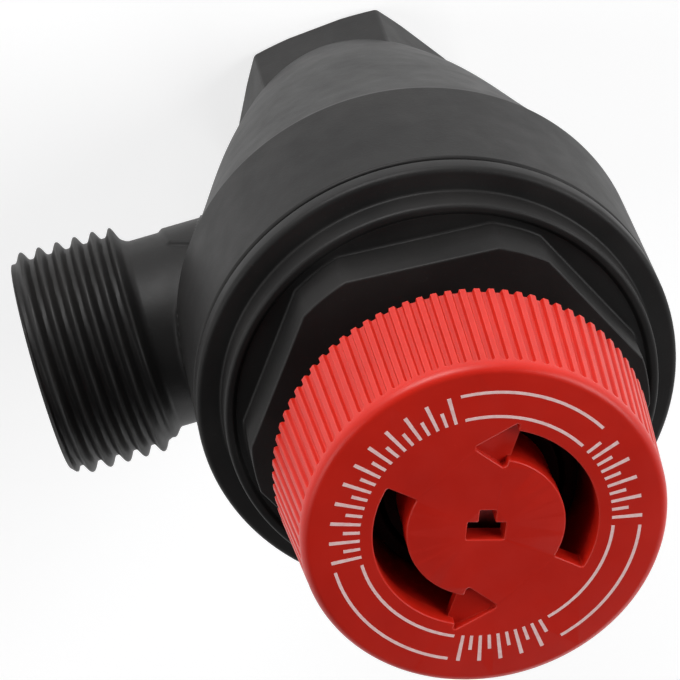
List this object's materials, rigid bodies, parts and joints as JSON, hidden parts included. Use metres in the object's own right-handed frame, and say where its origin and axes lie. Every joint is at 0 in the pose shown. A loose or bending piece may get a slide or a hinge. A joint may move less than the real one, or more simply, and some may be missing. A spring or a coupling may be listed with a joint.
{
  "type": "pressure relief valve",
  "caption": "Angle-pattern diaphragm safety valve for a boiler: female inlet below, male threaded outlet at the side, spring bonnet and fluted hand discharge knob on top.",
  "frame": {"origin": "centre of the inlet face", "axes": "+Z along the valve axis from the inlet towards the knob, +X along the outlet"},
  "size_m": [0.0433, 0.0332, 0.0596],
  "materials": {
    "black_plastic": "glass-filled nylon, satin",
    "red_plastic": "moulded, semi-gloss",
    "brass": "machined",
    "steel": "machined",
    "rubber": "smooth elastomer",
    "white_plastic": "acetal"
  },
  "bodies": {
    "casing": {"valve_body": "black_plastic", "inlet_insert": "brass", "seat_nozzle": "brass", "nozzle_o_ring": "rubber", "diaphragm": "rubber", "slip_ring": "white_plastic", "spring": "steel", "upper_spring_plate": "steel", "adjusting_nut": "black_plastic", "lock_ring": "black_plastic", "guide_bush": "white_plastic", "bonnet": "black_plastic"},
    "spindle": {"seat_disc": "rubber", "disc_retainer": "brass", "disc_screw": "steel", "disc_holder": "brass", "holder_o_ring": "rubber", "diaphragm_plate": "steel", "plate_nut": "brass", "stem": "steel"},
    "hand_knob": {"knob": "red_plastic"}
  },
  "joints": [
    {"name": "valve_lift", "type": "slide", "parent": "casing", "child": "spindle", "axis": [0, 0, 1], "range_m": [0, 0.0016], "deforming": ["spring", "diaphragm"]},
    {"name": "knob_turn", "type": "hinge", "parent": "spindle", "child": "hand_knob", "pos_m": [0, 0, 0.0557], "axis": [0, 0, 1], "range_deg": [0, 90]}
  ],
  "couplings": [
    {"joint": "knob_turn", "follows": "valve_lift", "rad_per_m": 981.7}
  ]
}
